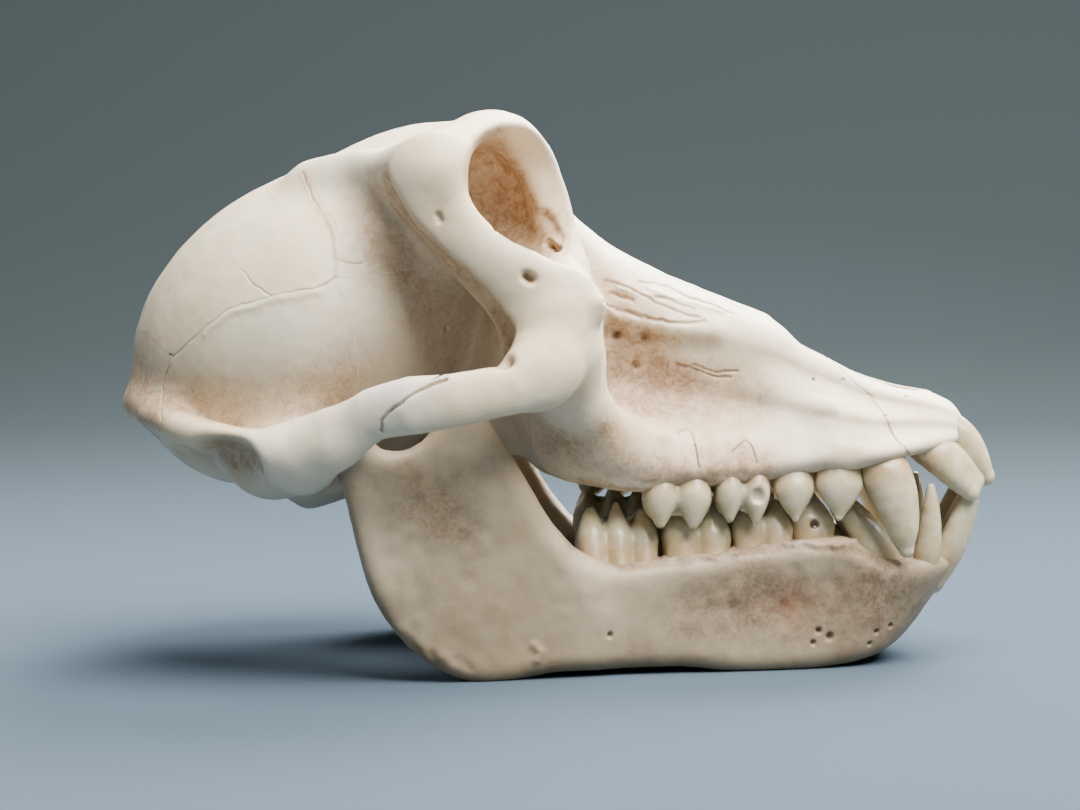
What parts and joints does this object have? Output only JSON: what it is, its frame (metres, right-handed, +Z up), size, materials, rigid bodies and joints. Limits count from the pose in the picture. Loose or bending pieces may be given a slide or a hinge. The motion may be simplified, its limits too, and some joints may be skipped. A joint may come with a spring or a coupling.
{
  "type": "baboon skull",
  "caption": "Dry skull of a baboon with its lower jaw and teeth, long muzzle and wide cheek arches, resting closed on the lower edge of the jaw.",
  "frame": {"origin": "middle of the skull's length and width, on the floor it rests on", "axes": "+X towards the snout, +Y to the animal's left, +Z up"},
  "size_m": [0.1722, 0.1044, 0.1076],
  "materials": {
    "frontal": "dry ivory bone, matt with a slight sheen",
    "mandible": "dry ivory bone, matt with a slight sheen",
    "maxilla": "dry ivory bone, matt with a slight sheen",
    "nasal": "dry ivory bone, matt with a slight sheen",
    "occipital": "dry ivory bone, matt with a slight sheen",
    "parietal": "dry ivory bone, matt with a slight sheen",
    "premaxilla": "dry ivory bone, matt with a slight sheen",
    "sphenoid": "dry ivory bone, matt with a slight sheen",
    "temporal": "dry ivory bone, matt with a slight sheen",
    "zygomatic": "dry ivory bone, matt with a slight sheen"
  },
  "bodies": {
    "root": {"frontal": "frontal", "parietal_left": "parietal", "parietal_right": "parietal", "occipital": "occipital", "temporal_left": "temporal", "temporal_right": "temporal", "zygomatic_left": "zygomatic", "zygomatic_right": "zygomatic", "maxilla_left": "maxilla", "maxilla_right": "maxilla", "premaxilla": "premaxilla", "nasal": "nasal", "sphenoid": "sphenoid", "mandible": "mandible"}
  },
  "joints": []
}
